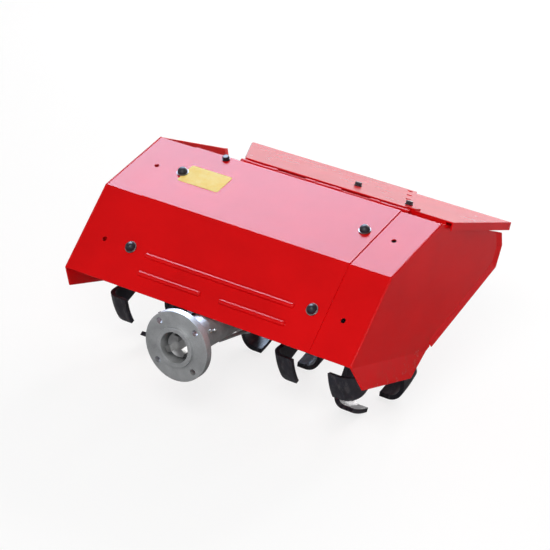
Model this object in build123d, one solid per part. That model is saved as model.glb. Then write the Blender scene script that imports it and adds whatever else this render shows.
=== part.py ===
"""Rotary tiller for a two-wheeled walking tractor, as one mounted implement.

Millimetres. +X is the machine's left, +Y its rear, +Z up. The floor is Z = 0, and the
rotor axis lies straight above the origin. The tiller stands as it parks, on its tine
tips and on the shoe of the depth skid.
"""
from build123d import *
from math import cos, radians, sin
import os

# Rotor
TINE_RADIUS = 160.0
FOOT_HALF_ARC = 11.0
SET_ANGLE = 22.5
STAGGER = 45.0
AXLE_HEIGHT = TINE_RADIUS * cos(radians(SET_ANGLE - FOOT_HALF_ARC))
SHAFT_RADIUS = 15.0
SHAFT_HALF_LENGTH = 215.0
HUB_RADIUS = 24.0
HUB_BORE_RADIUS = 15.1
HUB_INNER_X = 36.0
HUB_OUTER_X = 273.0
FLANGE_RADIUS = 58.0
FLANGE_THICKNESS = 6.0
TINE_THICKNESS = 8.0
TINE_REACH = 48.0
TINE_BEND = 30.0
TINE_SWEEP = 9.0
TINE_ROOT = 32.0
TINE_WIDTH = 40.0
HUB_BOLT_RADIUS = 5.0
HUB_BOLT_X = 60.0

# Hood outline in the side view, as (Y, Z)
FRONT_LOW = (-226.0, 188.0)
FRONT_FOLD = (-114.0, 313.0)
RIDGE = (48.0, 357.0)
REAR_TOP = (278.0, 266.0)
REAR_MID = (285.0, 239.0)
REAR_LOW = (269.0, 200.0)
HEEL = (-32.0, 95.0)
TOE = (-199.0, 139.0)
HALF_WIDTH = 300.0
SEAM_X = 217.0
WING_INNER_X = 170.0
SHEET = 2.0
PLATE = 3.0
RUNNER_FLARE = 11.0
EDGE_FLANGE_WIDTH = 15.0
EDGE_FLANGE_FLARE = 4.0
RELIEF_GAP = 12.0
RIB_RADIUS = 5.0
RIB_SINK = 1.2
BRACKET_PLATE = 5.0
CHEEK = 6.0

# Adjusting bolts and spare holes, as distances up each slope
TOP_BOLT_X = 192.0
TOP_BOLT_RISE = 89.0
FRONT_BOLT_X = 190.0
FRONT_BOLT_RISE = 72.0
SPARE_HOLE_X = 250.0
SPARE_HOLE_RADIUS = 4.5
DOME_RADIUS = 9.5
WASHER_RADIUS = 11.0
BOLT_RADIUS = 5.0

# Flap and its hinge
HINGE_Y = RIDGE[0] + 13.0
HINGE_Z = RIDGE[1] - 4.0
HINGE_ROD_RADIUS = 3.0
HINGE_BORE_RADIUS = 3.05
FLAP_KNUCKLE_RADIUS = 5.0
HOOD_KNUCKLE_RADIUS = 4.5
HINGE_STATIONS = (-85.0, 50.0, 185.0)
HOOD_KNUCKLE_WIDTH = 34.0
FLAP_KNUCKLE_WIDTH = 20.0
KNUCKLE_GAP = 0.5
FLAP_SLOPE = 18.0
FLAP_LENGTH = 254.7
FLAP_SHEET = 3.0
FLAP_RIGHT_AT_RIDGE = -120.0
FLAP_RIGHT_AT_TIP = -262.0
FLAP_LEFT_X = 308.0
SKIRT_DEPTH = 12.0
FLAP_SEAM_START = 30.0
FLAP_SEAM_AT_TIP = 108.0
FLAP_LAP = 30.0
BUFFER_GAP = 0.4

# Gear case and input neck
CASE_RADIUS = 78.0
CASE_HALF_WIDTH = 25.0
COVER_RADIUS = 62.0
COVER_THICKNESS = 5.0
SEAL_RADIUS = 30.0
SEAL_THICKNESS = 3.0
PLUG_ANGLES = (52.0, 140.0)
COLLAR_RADIUS = 46.0
COLLAR_FRONT_Y = -98.0
NECK_RADIUS = 30.0
NECK_BORE_RADIUS = 10.05
NECK_HOLLOW_RADIUS = 22.0
NECK_SEAT = 14.0
COUPLING_FACE_Y = -300.0
COUPLING_RADIUS = 64.0
COUPLING_THICKNESS = 14.0
COUPLING_PITCH_RADIUS = 52.0
COUPLING_HOLE_RADIUS = 5.5
SPIGOT_RADIUS = 36.0
SPIGOT_BORE_RADIUS = 28.0
SPIGOT_HEIGHT = 6.0
SOCKET_DEPTH = 30.0
SOCKET_RADIUS = 38.0
INPUT_SHAFT_RADIUS = 10.0
DOG_RADIUS = 22.0
DOG_TEETH = 3

# Depth skid
SKID_Y = 250.0
SKID_BAR_WIDTH = 45.0
SKID_BAR_DEPTH = 16.0
SKID_BAR_TOP = 216.0
SLEEVE_LOW = 150.0
SLEEVE_HIGH = 196.0
SLEEVE_WALL = 10.0
SLIDE_CLEARANCE = 0.5
SHOE_HALF_WIDTH = 35.0
SHOE_THICKNESS = 9.0
BEAM_HALF_WIDTH = 16.0


def polar(radius, angle):
    """Point in the side view at an angle from straight up, positive towards the rear."""
    return (radius * sin(radians(angle)), radius * cos(radians(angle)))


def side_face(points, x):
    """Flat face in the side view from (Y, Z) points."""
    return Plane.YZ.offset(x) * make_face(Polyline(*points, close=True))


def side_plate(points, x_low, x_high):
    """Plate between two X values whose outline is a list of (Y, Z) points."""
    return extrude(side_face(points, x_low), x_high - x_low)


def rod_x(radius, x_low, x_high, y=0.0, z=AXLE_HEIGHT):
    """Round bar along X."""
    middle = (x_low + x_high) / 2
    return Pos(middle, y, z) * Rot(0, 90, 0) * Cylinder(radius, x_high - x_low)


def rod_y(radius, y_low, y_high, x=0.0, z=AXLE_HEIGHT):
    """Round bar along Y."""
    middle = (y_low + y_high) / 2
    return Pos(x, middle, z) * Rot(90, 0, 0) * Cylinder(radius, y_high - y_low)


def block(x_low, x_high, y_low, y_high, z_low, z_high):
    """Box from its six limits."""
    middle = ((x_low + x_high) / 2, (y_low + y_high) / 2, (z_low + z_high) / 2)
    return Pos(*middle) * Box(x_high - x_low, y_high - y_low, z_high - z_low)


def mirrored(shape):
    """The same piece on the machine's other side."""
    return mirror(shape, Plane.YZ)


def along(start, end, distance):
    """Point at a distance from start towards end."""
    length = ((end[0] - start[0]) ** 2 + (end[1] - start[1]) ** 2) ** 0.5
    part = distance / length
    return (start[0] + part * (end[0] - start[0]), start[1] + part * (end[1] - start[1]))


def outward(start, end):
    """Unit normal of a hood slope, pointing out of the hood."""
    length = ((end[0] - start[0]) ** 2 + (end[1] - start[1]) ** 2) ** 0.5
    return (-(end[1] - start[1]) / length, (end[0] - start[0]) / length)


def shifted(point, normal, distance):
    """Point moved along a normal."""
    return (point[0] + normal[0] * distance, point[1] + normal[1] * distance)


def fold_point(distance):
    """Corner of the folded sheet at a distance out from the hood outline."""
    front = outward(FRONT_LOW, FRONT_FOLD)
    top = outward(FRONT_FOLD, RIDGE)
    scale = distance / (1 + front[0] * top[0] + front[1] * top[1])
    return (FRONT_FOLD[0] + scale * (front[0] + top[0]), FRONT_FOLD[1] + scale * (front[1] + top[1]))


def folded_sheet(inner, outer, x_low, x_high):
    """Front and top slope in one folded sheet, between two distances from the outline."""
    front = outward(FRONT_LOW, FRONT_FOLD)
    top = outward(FRONT_FOLD, RIDGE)
    points = [
        shifted(FRONT_LOW, front, inner), fold_point(inner), shifted(RIDGE, top, inner),
        shifted(RIDGE, top, outer), fold_point(outer), shifted(FRONT_LOW, front, outer),
    ]
    return side_plate(points, x_low, x_high)


def slope_place(start, end, rise, x, lift=0.0):
    """Place on a hood slope, its Z axis pointing out of the sheet."""
    normal = outward(start, end)
    y, z = shifted(along(start, end, rise), normal, lift)
    return Plane(origin=(x, y, z), x_dir=(1, 0, 0), z_dir=(0, normal[0], normal[1]))


def bolt_places():
    """The four adjusting bolts of the left and right wings, as (side, slope place)."""
    places = []
    for side in (1, -1):
        places.append((side, slope_place(FRONT_FOLD, RIDGE, TOP_BOLT_RISE, side * TOP_BOLT_X)))
        places.append((side, slope_place(FRONT_LOW, FRONT_FOLD, FRONT_BOLT_RISE, side * FRONT_BOLT_X)))
    return places


def hood_main():
    """Middle panel, folded once, with pressed ribs low on its front slope."""
    panel = folded_sheet(0.0, SHEET, -SEAM_X, SEAM_X)
    # Each rib: distance up the front slope, left end, right end
    ribs = [(67.0, -152.0, 152.0), (33.0, 24.0, 150.0), (33.0, -150.0, -24.0)]
    for rise, x_low, x_high in ribs:
        place = slope_place(FRONT_LOW, FRONT_FOLD, rise, 0.0, lift=SHEET)
        y, z = place.origin.Y, place.origin.Z
        rib = rod_x(RIB_RADIUS, x_low, x_high, y, z)
        rib += Pos(x_low, y, z) * Sphere(RIB_RADIUS)
        rib += Pos(x_high, y, z) * Sphere(RIB_RADIUS)
        rib -= place * Pos(0, 0, -RIB_SINK - 5.0) * Box(600, 30, 10)
        panel += rib
    for side, place in bolt_places():
        panel -= place * Cylinder(BOLT_RADIUS, 20)
    return panel


def hood_wing(side):
    """Side extension of the hood, which slides under the middle panel."""
    sheet = folded_sheet(-SHEET, 0.0, WING_INNER_X, HALF_WIDTH - PLATE)
    for bolt_side, place in bolt_places():
        if bolt_side > 0:
            sheet -= place * Cylinder(BOLT_RADIUS, 20)
    spare = Cylinder(SPARE_HOLE_RADIUS, 20)
    sheet -= slope_place(FRONT_FOLD, RIDGE, TOP_BOLT_RISE, SPARE_HOLE_X) * spare
    sheet -= slope_place(FRONT_LOW, FRONT_FOLD, FRONT_BOLT_RISE, SPARE_HOLE_X) * spare
    return sheet if side > 0 else mirrored(sheet)


def flared_strip(crease_start, crease_end, edge_start, edge_end, flare):
    """Strip bent outwards from the end plate along a crease, as thick as the plate."""
    inner = HALF_WIDTH - PLATE
    corners = []
    for x_shift in (0.0, PLATE):
        corners.append([
            (inner + x_shift, *crease_start), (inner + x_shift, *crease_end),
            (inner + x_shift + flare, *edge_end), (inner + x_shift + flare, *edge_start),
        ])
    faces = [Face(Wire.make_polygon(ring, close=True)) for ring in corners]
    for first in range(4):
        second = (first + 1) % 4
        ring = [corners[0][first], corners[0][second], corners[1][second], corners[1][first]]
        faces.append(Face(Wire.make_polygon(ring, close=True)))
    return Solid(Shell(faces))


def meeting(first_a, first_b, second_a, second_b):
    """Crossing point of two lines in the side view."""
    ax, ay = first_b[0] - first_a[0], first_b[1] - first_a[1]
    bx, by = second_b[0] - second_a[0], second_b[1] - second_a[1]
    share = ((second_a[0] - first_a[0]) * by - (second_a[1] - first_a[1]) * bx) / (ax * by - ay * bx)
    return (first_a[0] + share * ax, first_a[1] + share * ay)


def inset_line(start, end, distance):
    """Line parallel to an edge of the end plate, moved into the plate."""
    normal = outward(start, end)
    return shifted(start, normal, distance), shifted(end, normal, distance)


def end_plate(side):
    """End plate with a bent rear edge and a flared runner strip along its foot."""
    lower = inset_line(HEEL, REAR_LOW, EDGE_FLANGE_WIDTH)
    rear = inset_line(REAR_LOW, REAR_MID, EDGE_FLANGE_WIDTH)
    upper = inset_line(REAR_MID, REAR_TOP, EDGE_FLANGE_WIDTH)
    along_foot = (HEEL[0] - TOE[0], HEEL[1] - TOE[1])
    runner_heel = meeting(HEEL, REAR_LOW, FRONT_LOW, shifted(FRONT_LOW, along_foot, 1.0))
    edge_start = along(runner_heel, REAR_LOW, RELIEF_GAP)
    crease_start = shifted(edge_start, outward(HEEL, REAR_LOW), EDGE_FLANGE_WIDTH)
    crease_low = meeting(*lower, *rear)
    crease_mid = meeting(*rear, *upper)
    crease_top = meeting(*upper, RIDGE, REAR_TOP)
    outline = [
        FRONT_LOW, FRONT_FOLD, RIDGE, crease_top, crease_mid, crease_low, crease_start,
        edge_start, runner_heel,
    ]
    plate = side_plate(outline, HALF_WIDTH - PLATE, HALF_WIDTH)
    # Each strip: crease start, crease end, edge start, edge end, how far it flares
    strips = [
        (crease_start, crease_low, edge_start, REAR_LOW, EDGE_FLANGE_FLARE),
        (crease_low, crease_mid, REAR_LOW, REAR_MID, EDGE_FLANGE_FLARE),
        (crease_mid, crease_top, REAR_MID, REAR_TOP, EDGE_FLANGE_FLARE),
        (FRONT_LOW, runner_heel, TOE, HEEL, RUNNER_FLARE),
    ]
    for strip in strips:
        plate += flared_strip(*strip)
    return plate if side > 0 else mirrored(plate)


def wing_bolts(side):
    """Domed bolts with washers and nuts that hold a wing under the middle panel."""
    pieces = []
    for bolt_side, place in bolt_places():
        if bolt_side == side:
            washer = Pos(0, 0, SHEET + 1.25) * Cylinder(WASHER_RADIUS, 2.5)
            dome = Pos(0, 0, SHEET + 2.5) * Sphere(DOME_RADIUS)
            dome -= Pos(0, 0, SHEET + 2.5 - DOME_RADIUS) * Cylinder(DOME_RADIUS + 1, 2 * DOME_RADIUS)
            stem = Pos(0, 0, -5.0) * Cylinder(BOLT_RADIUS, 17.0)
            nut = Pos(0, 0, -SHEET - 4.0) * extrude(RegularPolygon(9.0, 6), 4.0, both=True)
            pieces.append(place * (washer + dome + stem + nut))
    return pieces


def hinge_place(x=0.0):
    """Frame of the flap hinge, its Y axis pointing down along the flap."""
    slope = radians(FLAP_SLOPE)
    return Plane(origin=(x, HINGE_Y, HINGE_Z), x_dir=(1, 0, 0), z_dir=(0, sin(slope), cos(slope)))


def hinge_knuckles_hood():
    """Fixed hinge barrels with the leaves that hold them under the middle panel."""
    top = outward(FRONT_FOLD, RIDGE)
    pieces = []
    for station in HINGE_STATIONS:
        low = station - HOOD_KNUCKLE_WIDTH / 2
        high = station + HOOD_KNUCKLE_WIDTH / 2
        under = -SHEET if high > WING_INNER_X else 0.0
        rear_end = shifted(RIDGE, top, under)
        front_end = shifted(along(RIDGE, FRONT_FOLD, 30.0), top, under)
        leaf = side_plate([
            front_end, rear_end, (HINGE_Y - 10.0, HINGE_Z - 1.0), (HINGE_Y, HINGE_Z - 1.0),
            (HINGE_Y, HINGE_Z - 4.4), (HINGE_Y - 12.0, HINGE_Z - 4.0),
            shifted(rear_end, top, -4.0), shifted(front_end, top, -3.0),
        ], low, high)
        barrel = rod_x(HOOD_KNUCKLE_RADIUS, low, high, HINGE_Y, HINGE_Z)
        bore = rod_x(HINGE_BORE_RADIUS, low - 1, high + 1, HINGE_Y, HINGE_Z)
        pieces.append(leaf + barrel - bore)
    return pieces


def flap_knuckles():
    """Moving hinge barrels with the leaves that carry the flap."""
    pieces = []
    for station in HINGE_STATIONS:
        for end in (-1, 1):
            inner = HOOD_KNUCKLE_WIDTH / 2 + KNUCKLE_GAP
            middle = station + end * (inner + FLAP_KNUCKLE_WIDTH / 2)
            barrel = Rot(0, 90, 0) * Cylinder(FLAP_KNUCKLE_RADIUS, FLAP_KNUCKLE_WIDTH)
            leaf = Pos(0, 11.0, 3.5) * Box(FLAP_KNUCKLE_WIDTH, 22.0, 3.0)
            bore = Rot(0, 90, 0) * Cylinder(HINGE_BORE_RADIUS, FLAP_KNUCKLE_WIDTH + 2)
            pieces.append(hinge_place(middle) * (barrel + leaf - bore))
    return pieces


def hinge_rod():
    """Hinge rod with a head at each end."""
    reach = HOOD_KNUCKLE_WIDTH / 2 + KNUCKLE_GAP + FLAP_KNUCKLE_WIDTH
    low = HINGE_STATIONS[0] - reach - 1.0
    high = HINGE_STATIONS[-1] + reach + 1.0
    rod = rod_x(HINGE_ROD_RADIUS, low, high, HINGE_Y, HINGE_Z)
    rod += rod_x(HOOD_KNUCKLE_RADIUS, low - 3.0, low, HINGE_Y, HINGE_Z)
    rod += rod_x(HOOD_KNUCKLE_RADIUS, high, high + 3.0, HINGE_Y, HINGE_Z)
    return rod


def flap_sheet(corners, underside):
    """Flat flap sheet from (X, distance from the hinge) corners."""
    base = hinge_place() * Pos(0, 0, underside) * make_face(Polyline(*corners, close=True))
    return extrude(base, FLAP_SHEET)


def flap_main():
    """Main flap sheet, cut back at a slant at both ends."""
    corners = [
        (FLAP_RIGHT_AT_RIDGE, 1.0), (SEAM_X, 1.0), (SEAM_X, FLAP_SEAM_START),
        (FLAP_SEAM_AT_TIP, FLAP_LENGTH), (FLAP_RIGHT_AT_TIP, FLAP_LENGTH),
    ]
    return flap_sheet(corners, FLAP_KNUCKLE_RADIUS)


def flap_side_plate():
    """Left end of the flap, lapped under the main sheet, with a skirt outside the end plate."""
    corners = [
        (SEAM_X - FLAP_LAP, FLAP_SEAM_START), (SEAM_X + 8.0, FLAP_SEAM_START), (SEAM_X + 12.0, 10.0),
        (FLAP_LEFT_X, 10.0), (FLAP_LEFT_X, FLAP_LENGTH - 2.0),
        (FLAP_SEAM_AT_TIP - FLAP_LAP, FLAP_LENGTH - 2.0),
    ]
    underside = FLAP_KNUCKLE_RADIUS - FLAP_SHEET
    run = FLAP_LENGTH - 12.0
    skirt = Pos(FLAP_LEFT_X - FLAP_SHEET / 2, 10.0 + run / 2, underside - SKIRT_DEPTH / 2 + FLAP_SHEET / 2)
    skirt *= Box(FLAP_SHEET, run, SKIRT_DEPTH + FLAP_SHEET)
    return flap_sheet(corners, underside) + hinge_place() * skirt


def plug_place(angle):
    """Seat of an oil plug on the rim of the gear case, at an angle from straight up."""
    y, z = polar(CASE_RADIUS + 3.0, angle)
    return Pos(0, y, AXLE_HEIGHT + z) * Rot(-angle, 0, 0)


def gear_case():
    """Cast right-angle gear case round the rotor shaft."""
    case = rod_x(CASE_RADIUS, -CASE_HALF_WIDTH, CASE_HALF_WIDTH)
    throat_front = Plane.XZ.offset(-COLLAR_FRONT_Y - 14.0) * Pos(0, AXLE_HEIGHT) * Circle(COLLAR_RADIUS)
    throat_end = RectangleRounded(2 * CASE_HALF_WIDTH, 86, 20)
    throat_back = Plane.XZ.offset(COVER_RADIUS + 1.0) * Pos(0, AXLE_HEIGHT) * throat_end
    case += loft([throat_front, throat_back])
    case += rod_y(COLLAR_RADIUS, COLLAR_FRONT_Y, COLLAR_FRONT_Y + 14.0)
    case += block(-CASE_HALF_WIDTH, CASE_HALF_WIDTH, -32, 32, AXLE_HEIGHT + 50, AXLE_HEIGHT + 92)
    for angle in PLUG_ANGLES:
        case += plug_place(angle) * Pos(0, 0, -5.0) * Cylinder(13.0, 10.0)
    case += block(-18, 18, 50, 84, AXLE_HEIGHT - 20, AXLE_HEIGHT + 30)
    case -= rod_x(SHAFT_RADIUS + 0.05, -60, 60)
    case -= rod_y(NECK_BORE_RADIUS, COLLAR_FRONT_Y - 5, -40)
    return case


def input_neck():
    """Neck tube, bolted to the gear case by a collar."""
    back = COUPLING_FACE_Y + SOCKET_DEPTH
    neck = rod_y(COLLAR_RADIUS, COLLAR_FRONT_Y - 12, COLLAR_FRONT_Y)
    neck += rod_y(NECK_RADIUS, back, COLLAR_FRONT_Y)
    neck -= rod_y(NECK_HOLLOW_RADIUS, back + NECK_SEAT, COLLAR_FRONT_Y - NECK_SEAT)
    return neck - rod_y(NECK_BORE_RADIUS, back - 5, COLLAR_FRONT_Y + 5)


def coupling_flange():
    """Coupling flange with its spigot, round the socket of the input dog."""
    face = COUPLING_FACE_Y
    neck = rod_y(SOCKET_RADIUS, face, face + SOCKET_DEPTH)
    neck += rod_y(COUPLING_RADIUS, face, face + COUPLING_THICKNESS)
    neck += rod_y(SPIGOT_RADIUS, face - SPIGOT_HEIGHT, face)
    neck -= rod_y(SPIGOT_BORE_RADIUS, face - SPIGOT_HEIGHT - 1, face + SOCKET_DEPTH + 1)
    for index in range(4):
        angle = 45 + 90 * index
        x = COUPLING_PITCH_RADIUS * cos(radians(angle))
        z = AXLE_HEIGHT + COUPLING_PITCH_RADIUS * sin(radians(angle))
        neck -= rod_y(COUPLING_HOLE_RADIUS, face - 1, face + COUPLING_THICKNESS + 1, x, z)
    return neck


def input_shaft():
    """Input shaft with a three-toothed dog inside the spigot."""
    face = COUPLING_FACE_Y
    shaft = rod_y(INPUT_SHAFT_RADIUS, face + 8, -42)
    shaft += rod_y(DOG_RADIUS, face + 8, face + SOCKET_DEPTH - 2)
    for index in range(DOG_TEETH):
        tooth = Pos(0, face + 4.0, DOG_RADIUS - 6.0) * Box(11.0, 12.0, 10.0)
        shaft += Pos(0, 0, AXLE_HEIGHT) * Rot(0, 360.0 * index / DOG_TEETH, 0) * tooth
    return shaft


def case_cover(side):
    """Round side cover of the gear case."""
    cover = rod_x(COVER_RADIUS, CASE_HALF_WIDTH, CASE_HALF_WIDTH + COVER_THICKNESS)
    cover -= rod_x(SHAFT_RADIUS + 0.05, 0, 60)
    return cover if side > 0 else mirrored(cover)


def shaft_seals():
    """Seal ring on each side cover."""
    inner = CASE_HALF_WIDTH + COVER_THICKNESS
    ring = rod_x(SEAL_RADIUS, inner, inner + SEAL_THICKNESS)
    ring -= rod_x(SHAFT_RADIUS + 0.05, 0, 60)
    return [ring, mirrored(ring)]


def oil_plugs():
    """Filler plug high and drain plug low on the back of the case."""
    plug = Pos(0, 0, 2.0) * Cylinder(10.0, 4.0) + Pos(0, 0, 4.0) * extrude(RegularPolygon(8.0, 6), 5.0)
    return [plug_place(angle) * plug for angle in PLUG_ANGLES]


def hood_bracket():
    """Bracket from the top of the gear case up to the hood."""
    top = outward(FRONT_FOLD, RIDGE)
    front_end = along(FRONT_FOLD, RIDGE, 66.0)
    rear_end = along(FRONT_FOLD, RIDGE, 134.0)
    pad = [
        front_end, rear_end, shifted(rear_end, top, -BRACKET_PLATE), shifted(front_end, top, -BRACKET_PLATE),
    ]
    bracket = side_plate(pad, -60, 60)
    low = AXLE_HEIGHT + COVER_RADIUS + 2
    high_front = shifted(along(FRONT_FOLD, RIDGE, 80.0), top, -BRACKET_PLATE)
    high_rear = shifted(along(FRONT_FOLD, RIDGE, 132.0), top, -BRACKET_PLATE)
    outline = [(-30, low), high_front, high_rear, (30, low)]
    cheek = side_plate(outline, CASE_HALF_WIDTH, CASE_HALF_WIDTH + CHEEK)
    return bracket + cheek + mirrored(cheek)


def neck_bracket():
    """Bracket from the input neck to the front slope of the hood."""
    front = outward(FRONT_LOW, FRONT_FOLD)
    low_end = along(FRONT_LOW, FRONT_FOLD, 12.0)
    high_end = along(FRONT_LOW, FRONT_FOLD, 100.0)
    pad = [
        low_end, high_end, shifted(high_end, front, -BRACKET_PLATE), shifted(low_end, front, -BRACKET_PLATE),
    ]
    bracket = side_plate(pad, -45, 45)
    web_low = shifted(along(FRONT_LOW, FRONT_FOLD, 20.0), front, -BRACKET_PLATE)
    web_high = shifted(along(FRONT_LOW, FRONT_FOLD, 92.0), front, -BRACKET_PLATE)
    outline = [web_low, web_high, (web_high[0], AXLE_HEIGHT), (web_low[0], AXLE_HEIGHT)]
    web = side_plate(outline, -4, 4)
    return bracket + (web - rod_y(NECK_RADIUS, -290, -100))


def rear_beam():
    """Beam from the back of the gear case to the skid sleeve."""
    back = SKID_Y - SKID_BAR_DEPTH / 2 - SLIDE_CLEARANCE - SLEEVE_WALL
    front = 84.0
    outline = [
        (front, AXLE_HEIGHT - 18), (front, AXLE_HEIGHT + 28), (back, SLEEVE_HIGH - 4), (back, SLEEVE_LOW + 4),
    ]
    return side_plate(outline, -BEAM_HALF_WIDTH, BEAM_HALF_WIDTH)


def skid_sleeve():
    """Sleeve that guides the skid bar."""
    half_x = SKID_BAR_WIDTH / 2 + SLIDE_CLEARANCE
    half_y = SKID_BAR_DEPTH / 2 + SLIDE_CLEARANCE
    wide = half_x + SLEEVE_WALL
    deep = half_y + SLEEVE_WALL
    outer = block(-wide, wide, SKID_Y - deep, SKID_Y + deep, SLEEVE_LOW, SLEEVE_HIGH)
    inner = block(-half_x, half_x, SKID_Y - half_y, SKID_Y + half_y, SLEEVE_LOW - 1, SLEEVE_HIGH + 1)
    screw_z = (SLEEVE_LOW + SLEEVE_HIGH) / 2
    return outer - inner - rod_y(6.0, SKID_Y, SKID_Y + 40, 0, screw_z)


def skid_screw():
    """Clamp screw with a cross handle, which presses on the skid bar."""
    screw_z = (SLEEVE_LOW + SLEEVE_HIGH) / 2
    start = SKID_Y + SKID_BAR_DEPTH / 2 + 0.3
    screw = rod_y(6.0, start, start + 38.0, 0, screw_z)
    screw += rod_y(9.5, start + 28.0, start + 40.0, 0, screw_z)
    screw += rod_x(3.5, -38.0, 38.0, start + 34.0, screw_z)
    return screw


def skid_bar():
    """Upright flat bar of the depth skid."""
    half_x = SKID_BAR_WIDTH / 2
    half_y = SKID_BAR_DEPTH / 2
    return block(-half_x, half_x, SKID_Y - half_y, SKID_Y + half_y, SHOE_THICKNESS, SKID_BAR_TOP)


def skid_shoe():
    """Curved shoe with two side webs, turned up at both ends."""
    thick = SHOE_THICKNESS
    points = [
        (SKID_Y - 62, 22), (SKID_Y - 36, 4), (SKID_Y - 22, 0), (SKID_Y + 30, 0), (SKID_Y + 50, 8),
        (SKID_Y + 46, 8 + thick), (SKID_Y + 28, thick), (SKID_Y - 21, thick), (SKID_Y - 33, 4 + thick),
        (SKID_Y - 58, 22 + thick),
    ]
    shoe = side_plate(points, -SHOE_HALF_WIDTH, SHOE_HALF_WIDTH)
    half_x = SKID_BAR_WIDTH / 2
    half_y = SKID_BAR_DEPTH / 2
    outline = [(SKID_Y - 20, thick), (SKID_Y + 28, thick), (SKID_Y + half_y, 60), (SKID_Y - half_y, 60)]
    web = side_plate(outline, half_x, half_x + 5)
    return shoe + web + mirrored(web)


def flap_rest():
    """Bracket inside the left end plate that carries the flap's rubber buffer."""
    inner = HALF_WIDTH - PLATE
    return block(inner - 4, inner, 186, 214, 262, 298) + block(inner - 26, inner - 4, 186, 214, 294, 298)


def flap_buffer():
    """Rubber buffer under the flap's left end."""
    reach = (200.0 - HINGE_Y) / cos(radians(FLAP_SLOPE))
    buffer = Pos(HALF_WIDTH - PLATE - 15, 200.0, 298.0) * Cylinder(9.0, 40.0)
    buffer &= block(200, 300, 150, 250, 298.0, 330.0)
    lid_low = FLAP_KNUCKLE_RADIUS - FLAP_SHEET - BUFFER_GAP
    lid = hinge_place() * Pos(250, reach, lid_low + 20.0) * Box(200, 80, 40)
    return buffer - lid


def rotor_shaft():
    """Through shaft of the rotor, drilled for the hub bolts."""
    shaft = rod_x(SHAFT_RADIUS, -SHAFT_HALF_LENGTH, SHAFT_HALF_LENGTH)
    for side in (1, -1):
        shaft -= Pos(side * HUB_BOLT_X, 0, AXLE_HEIGHT) * Cylinder(HUB_BOLT_RADIUS, 80)
    return shaft


# Each flange: name, distance from the middle, angle of its set, which way its feet point
FLANGE_ROWS = [
    ("inner", 91.0, SET_ANGLE + STAGGER, (1, -1, 1, -1)),
    ("middle", 179.0, SET_ANGLE, (1, -1, 1, -1)),
    ("outer", 267.0, SET_ANGLE + STAGGER, (-1, -1, -1, -1)),
]


def tine_hub(side):
    """Hub tube with its three tine flanges."""
    hub = rod_x(HUB_RADIUS, HUB_INNER_X, HUB_OUTER_X)
    half = FLANGE_THICKNESS / 2
    for name, distance, angle, feet in FLANGE_ROWS:
        hub += rod_x(FLANGE_RADIUS, distance - half, distance + half)
    hub -= rod_x(HUB_BORE_RADIUS, HUB_INNER_X - 1, HUB_OUTER_X + 1)
    hub -= Pos(HUB_BOLT_X, 0, AXLE_HEIGHT) * Cylinder(HUB_BOLT_RADIUS, 80)
    return hub if side > 0 else mirrored(hub)


def hub_bolts():
    """Bolt through each hub and the shaft."""
    bolt = Cylinder(HUB_BOLT_RADIUS, 2 * HUB_RADIUS + 14.0)
    bolt += Pos(0, 0, HUB_RADIUS + 4.0) * extrude(RegularPolygon(9.0, 6), 3.0, both=True)
    bolt += Pos(0, 0, -HUB_RADIUS - 4.0) * extrude(RegularPolygon(9.0, 6), 3.0, both=True)
    return [Pos(side * HUB_BOLT_X, 0, AXLE_HEIGHT) * bolt for side in (1, -1)]


def tine():
    """One tine pointing straight up, its flat shank at X = 0 and its foot towards +X."""
    tip = TINE_RADIUS
    bend = tip - TINE_BEND
    inside = tip - TINE_THICKNESS
    profile = Polyline((TINE_THICKNESS, bend), (TINE_THICKNESS, 10), (0, 10), (0, bend))
    profile += RadiusArc((0, bend), (TINE_BEND, tip), TINE_BEND)
    profile += Polyline((TINE_BEND, tip), (TINE_REACH, tip), (TINE_REACH, inside), (TINE_BEND, inside))
    profile += RadiusArc((TINE_BEND, inside), (TINE_THICKNESS, bend), TINE_THICKNESS - TINE_BEND)
    swept = revolve(Plane.XZ * make_face(profile), Axis.X, 130)
    swept = Rot(-65, 0, 0) * swept
    half = TINE_WIDTH / 2
    lead = polar(tip + 6, -FOOT_HALF_ARC)
    trail = polar(tip + 6, FOOT_HALF_ARC)
    root_y, root_z = polar(TINE_ROOT, -TINE_SWEEP)
    outline = Polyline((root_y + half, root_z), (root_y - half, root_z))
    outline += ThreePointArc((root_y - half, root_z), polar(112, -TINE_SWEEP - 7), lead)
    outline += Line(lead, trail)
    outline += ThreePointArc(trail, polar(104, -TINE_SWEEP + 14), (root_y + half, root_z))
    blank = extrude(Plane.YZ * make_face(outline), 100, both=True)
    return swept & blank


def tine_set(side, distance, set_angle, feet):
    """Four tines bolted to one flange."""
    blade = tine()
    pieces = []
    for index, direction in enumerate(feet):
        one = Pos(FLANGE_THICKNESS / 2, 0, 0) * blade
        if direction < 0:
            one = mirrored(one)
        one = Pos(distance, 0, AXLE_HEIGHT) * Rot(-(set_angle + 90.0 * index), 0, 0) * one
        pieces.append(one if side > 0 else mirrored(one))
    return pieces


def save(name, shape):
    """Write one sub-part."""
    pieces = shape if isinstance(shape, list) else [shape]
    solids = [solid for piece in pieces for solid in piece.solids()]
    export_step(Compound(children=solids) if len(solids) > 1 else solids[0], f"parts/{name}.step")


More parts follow.
